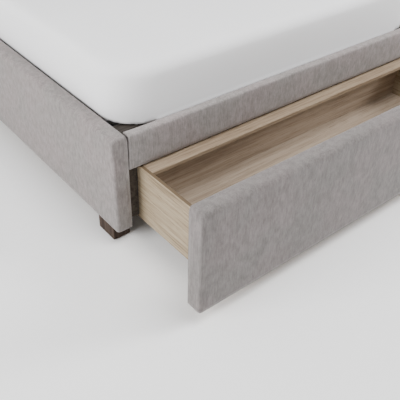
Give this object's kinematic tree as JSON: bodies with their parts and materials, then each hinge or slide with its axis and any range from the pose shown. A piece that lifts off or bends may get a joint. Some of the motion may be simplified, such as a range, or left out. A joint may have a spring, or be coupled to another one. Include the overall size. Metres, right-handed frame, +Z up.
{
  "type": "platform bed with storage drawer",
  "caption": "Upholstered platform bed with headboard, slatted base, mattress and a full-width storage drawer that rolls out of the foot end on castors.",
  "frame": {"origin": "on the floor, on the bed's mid-plane, under the middle centre leg, half way along the side panels", "axes": "+X across the bed to the right seen from the foot, +Y from the foot end to the headboard, +Z up"},
  "size_m": [1.658, 2.6365, 1.18],
  "materials": {
    "upholstery": "grey-taupe velvet chenille over thin foam",
    "board_core": "raw particle board",
    "frame_wood": "planed pine",
    "foot_wood": "dark espresso stain, satin",
    "guide_wood": "hardwood, stained black and waxed",
    "drawer_oak": "pale oak veneer, matt",
    "bracket_steel": "black powder coat",
    "screw_steel": "zinc plated",
    "castor_steel": "zinc plated sheet",
    "wheel_rubber": "soft grey tread",
    "glide_plastic": "moulded nylon",
    "mattress_cloth": "smooth white fitted cover"
  },
  "bodies": {
    "frame": {"side_panel_left_cover": "upholstery", "side_panel_right_cover": "upholstery", "foot_rail_cover": "upholstery", "headboard_cover": "upholstery", "side_panel_left_core": "board_core", "side_panel_right_core": "board_core", "foot_rail_core": "board_core", "headboard_core": "board_core", "foot_front_left": "foot_wood", "foot_front_right": "foot_wood", "foot_rear_left": "foot_wood", "foot_rear_right": "foot_wood", "glides": "glide_plastic", "centre_beam": "frame_wood", "centre_leg_foot_end": "frame_wood", "centre_leg_middle": "frame_wood", "centre_leg_head_end": "frame_wood", "ledger_left": "frame_wood", "ledger_right": "frame_wood", "slats": "frame_wood", "beam_hangers": "bracket_steel", "corner_brackets": "bracket_steel", "foot_bolts": "screw_steel", "ledger_screws": "screw_steel", "bracket_bolts": "screw_steel", "drawer_guide_left": "guide_wood", "drawer_guide_right": "guide_wood"},
    "drawer": {"drawer_front_cover": "upholstery", "drawer_front_core": "board_core", "drawer_side_left": "drawer_oak", "drawer_side_right": "drawer_oak", "drawer_inner_front": "drawer_oak", "drawer_back": "drawer_oak", "drawer_bottom": "drawer_oak", "drawer_stretcher": "drawer_oak", "drawer_stops": "drawer_oak", "front_screws": "screw_steel", "castor_board_left": "drawer_oak", "castor_board_right": "drawer_oak", "castor_axles": "screw_steel", "castor_screws": "screw_steel", "castor_fork_front_left": "castor_steel", "castor_fork_front_right": "castor_steel", "castor_fork_rear_left": "castor_steel", "castor_fork_rear_right": "castor_steel"},
    "wheel_front_left": {"castor_wheel_front_left": "wheel_rubber"},
    "wheel_front_right": {"castor_wheel_front_right": "wheel_rubber"},
    "wheel_rear_left": {"castor_wheel_rear_left": "wheel_rubber"},
    "wheel_rear_right": {"castor_wheel_rear_right": "wheel_rubber"},
    "mattress": {"mattress": "mattress_cloth"}
  },
  "joints": [
    {"name": "drawer_slide", "type": "slide", "parent": "frame", "child": "drawer", "axis": [0, -1, 0], "range_m": [-0.3865, 0]},
    {"name": "wheel_roll_front_left", "type": "hinge", "parent": "drawer", "child": "wheel_front_left", "pos_m": [-0.605, -1.3475, 0.025], "axis": [1, 0, 0], "range_deg": [-930, 10]},
    {"name": "wheel_roll_front_right", "type": "hinge", "parent": "drawer", "child": "wheel_front_right", "pos_m": [0.605, -1.3475, 0.025], "axis": [1, 0, 0], "range_deg": [-930, 10]},
    {"name": "wheel_roll_rear_left", "type": "hinge", "parent": "drawer", "child": "wheel_rear_left", "pos_m": [-0.605, -1.0775, 0.025], "axis": [1, 0, 0], "range_deg": [-930, 10]},
    {"name": "wheel_roll_rear_right", "type": "hinge", "parent": "drawer", "child": "wheel_rear_right", "pos_m": [0.605, -1.0775, 0.025], "axis": [1, 0, 0], "range_deg": [-930, 10]},
    {"name": "mattress_lift", "type": "slide", "parent": "frame", "child": "mattress", "axis": [0, 0, 1], "range_m": [0, 0.45]}
  ],
  "couplings": [
    {"joint": "wheel_roll_front_left", "follows": "drawer_slide", "rad_per_m": 40},
    {"joint": "wheel_roll_front_right", "follows": "drawer_slide", "rad_per_m": 40},
    {"joint": "wheel_roll_rear_left", "follows": "drawer_slide", "rad_per_m": 40},
    {"joint": "wheel_roll_rear_right", "follows": "drawer_slide", "rad_per_m": 40}
  ]
}
